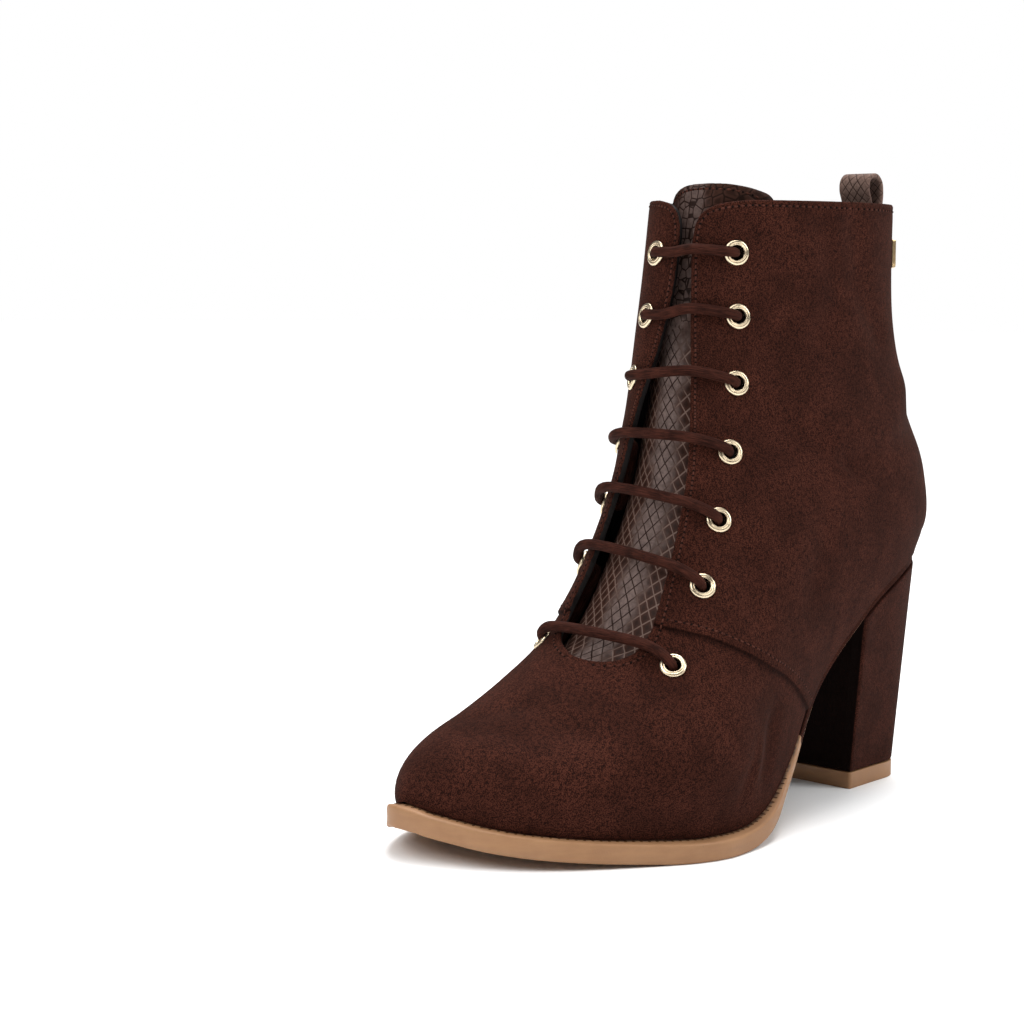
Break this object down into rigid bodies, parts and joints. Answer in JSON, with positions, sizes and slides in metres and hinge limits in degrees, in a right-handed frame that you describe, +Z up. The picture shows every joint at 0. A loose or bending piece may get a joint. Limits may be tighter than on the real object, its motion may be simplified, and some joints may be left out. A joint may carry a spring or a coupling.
{
  "type": "ankle boot",
  "caption": "Left suede ankle boot with bar lacing through metal eyelets, scaled tongue and pull loop, side zip and block heel.",
  "frame": {"origin": "on the floor, under the middle of the boot's length and width", "axes": "+Z up, the toe towards -Y, the wearer's left (the boot's lateral side) towards +X"},
  "size_m": [0.0974, 0.2408, 0.2144],
  "materials": {
    "suede": "dark brown suede with a fine nap",
    "scaled_leather": "leather embossed with diamond scales, half gloss",
    "gum": "tan rubber, satin",
    "lining": "dark lining, matte",
    "suede_cord": "dark brown cord, matte",
    "pale_gold": "pale gold, polished",
    "tape": "black woven tape, matte",
    "gunmetal": "dark metal, satin"
  },
  "bodies": {
    "boot": {"outsole": "gum", "heel": "suede", "heel_top_lift": "gum", "insole": "lining", "upper": "suede", "tongue": "scaled_leather", "lace": "suede_cord", "pull_loop": "scaled_leather", "back_plate": "pale_gold", "zip_tape": "tape", "zip_chain": "gunmetal", "zip_slider": "gunmetal", "eyelet_lateral_1": "pale_gold", "eyelet_lateral_2": "pale_gold", "eyelet_lateral_3": "pale_gold", "eyelet_lateral_4": "pale_gold", "eyelet_lateral_5": "pale_gold", "eyelet_lateral_6": "pale_gold", "eyelet_lateral_7": "pale_gold", "eyelet_medial_1": "pale_gold", "eyelet_medial_2": "pale_gold", "eyelet_medial_3": "pale_gold", "eyelet_medial_4": "pale_gold", "eyelet_medial_5": "pale_gold", "eyelet_medial_6": "pale_gold", "eyelet_medial_7": "pale_gold"},
    "zip_pull": {"zip_pull": "gunmetal"}
  },
  "joints": [
    {"name": "zip_pull_swing", "type": "hinge", "parent": "boot", "child": "zip_pull", "pos_m": [-0.04375, 0.06983, 0.18794], "axis": [0.2439, 0.9698, 0], "range_deg": [0, 150]}
  ]
}
